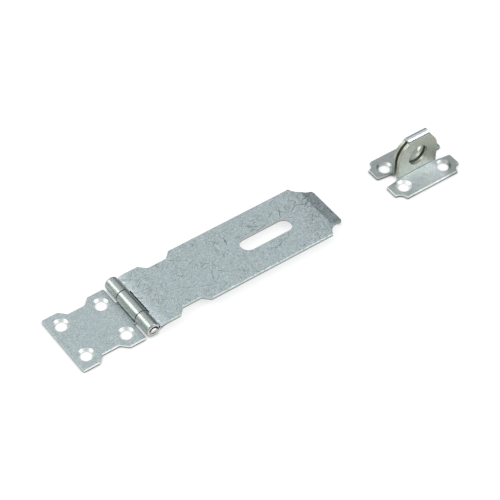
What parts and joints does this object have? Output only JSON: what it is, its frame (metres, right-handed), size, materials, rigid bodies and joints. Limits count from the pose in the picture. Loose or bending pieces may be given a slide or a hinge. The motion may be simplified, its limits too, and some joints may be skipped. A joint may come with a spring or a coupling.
{
  "type": "hasp",
  "caption": "Hinged sheet-steel hasp: a slotted strap with a finger lip folds over its screwed-down leaf, and a folded staple takes the padlock.",
  "frame": {"origin": "centre of the leaf's screw holes, on the leaf's back face", "axes": "+Z out of the surface that the leaf is screwed to, +X from the leaf along the open strap, +Y along the hinge pin"},
  "size_m": [0.1846, 0.03, 0.0198],
  "materials": {
    "zinc_plate": "satin zinc plating with a fine mottle",
    "pin_steel": "plain drawn wire, zinc plated"
  },
  "bodies": {
    "base": {"fixed_leaf": "zinc_plate", "staple": "zinc_plate"},
    "strap": {"hasp_strap": "zinc_plate", "hinge_pin": "pin_steel"}
  },
  "joints": [
    {"name": "strap_hinge", "type": "hinge", "parent": "base", "child": "strap", "pos_m": [0.0175, 0, 0.003], "axis": [0, -1, 0], "range_deg": [0, 180]}
  ]
}
